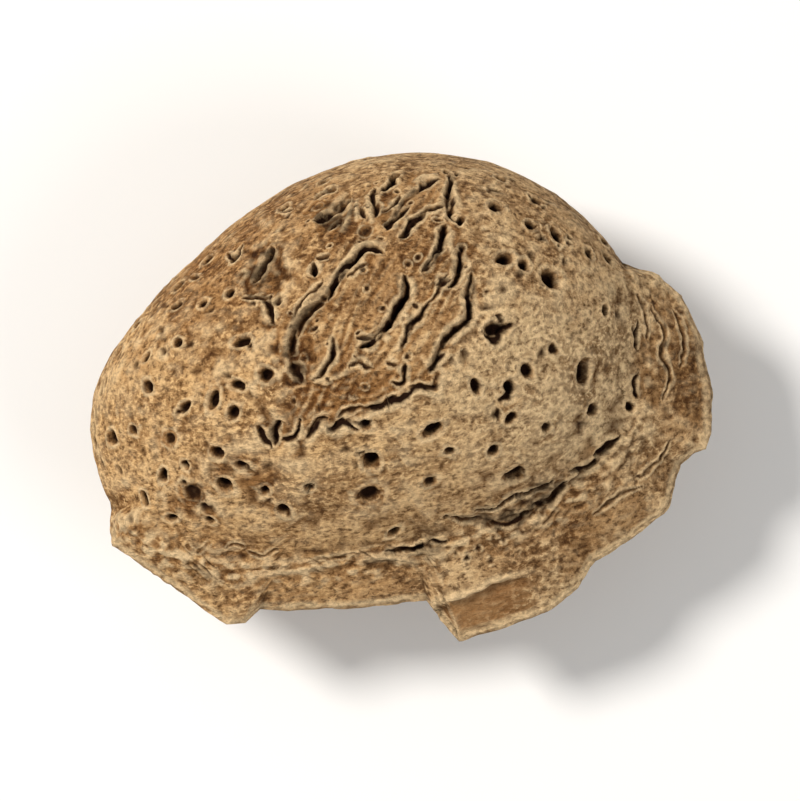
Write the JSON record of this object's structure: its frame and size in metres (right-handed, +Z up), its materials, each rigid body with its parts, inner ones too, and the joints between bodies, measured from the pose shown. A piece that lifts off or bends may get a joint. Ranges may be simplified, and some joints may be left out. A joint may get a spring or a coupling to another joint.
{
  "type": "almond in its shell",
  "caption": "Whole almond in its shell: a hard, pitted and furrowed woody oval with a ragged keel along one side, lying on its broad side.",
  "frame": {"origin": "middle of the nut's footprint, level with the small flat spot under it that it rests on", "axes": "+X along the nut, from its pointed end to its stem end; -Y towards the keel; +Z up through the thickness"},
  "size_m": [0.034, 0.027, 0.0174],
  "materials": {
    "shell": "dry, matt, pitted and fibrous almond shell"
  },
  "bodies": {
    "root": {"almond": "shell"}
  },
  "joints": []
}
